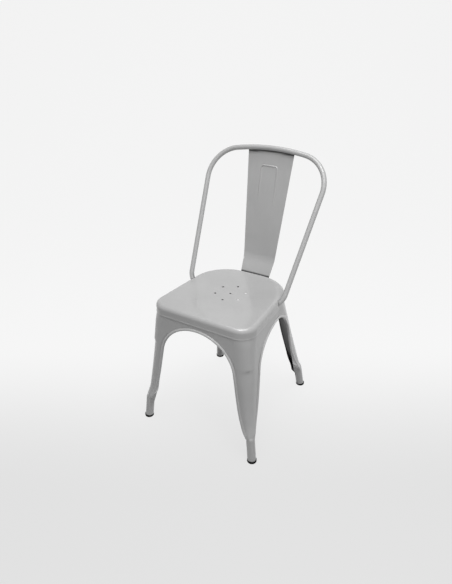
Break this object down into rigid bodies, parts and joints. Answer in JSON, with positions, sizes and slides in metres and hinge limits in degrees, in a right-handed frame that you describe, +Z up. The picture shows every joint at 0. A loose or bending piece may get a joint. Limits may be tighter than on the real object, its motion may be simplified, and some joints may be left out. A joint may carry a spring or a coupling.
{
  "type": "industrial chair",
  "caption": "Stackable pressed-steel dining chair with a dished seat, arched channel legs on rubber glides, a bent tube back hoop and a flat splat.",
  "frame": {"origin": "on the floor under the middle of the overall width and depth", "axes": "+Z up from the floor, -Y towards the front of the seat, +X towards the right-hand side in a front view"},
  "size_m": [0.4294, 0.4778, 0.8499],
  "materials": {
    "grey_paint": "satin",
    "glide_rubber": "matte",
    "cap_plastic": "matte"
  },
  "bodies": {
    "root": {"seat_pan": "grey_paint", "back_hoop": "grey_paint", "back_splat": "grey_paint", "brace_bar_lower": "grey_paint", "brace_bar_upper": "grey_paint", "leg_front_left": "grey_paint", "floor_glide_front_left": "glide_rubber", "stack_cap_front_left": "cap_plastic", "leg_front_right": "grey_paint", "floor_glide_front_right": "glide_rubber", "stack_cap_front_right": "cap_plastic", "leg_rear_left": "grey_paint", "floor_glide_rear_left": "glide_rubber", "stack_cap_rear_left": "cap_plastic", "leg_rear_right": "grey_paint", "floor_glide_rear_right": "glide_rubber", "stack_cap_rear_right": "cap_plastic"}
  },
  "joints": []
}
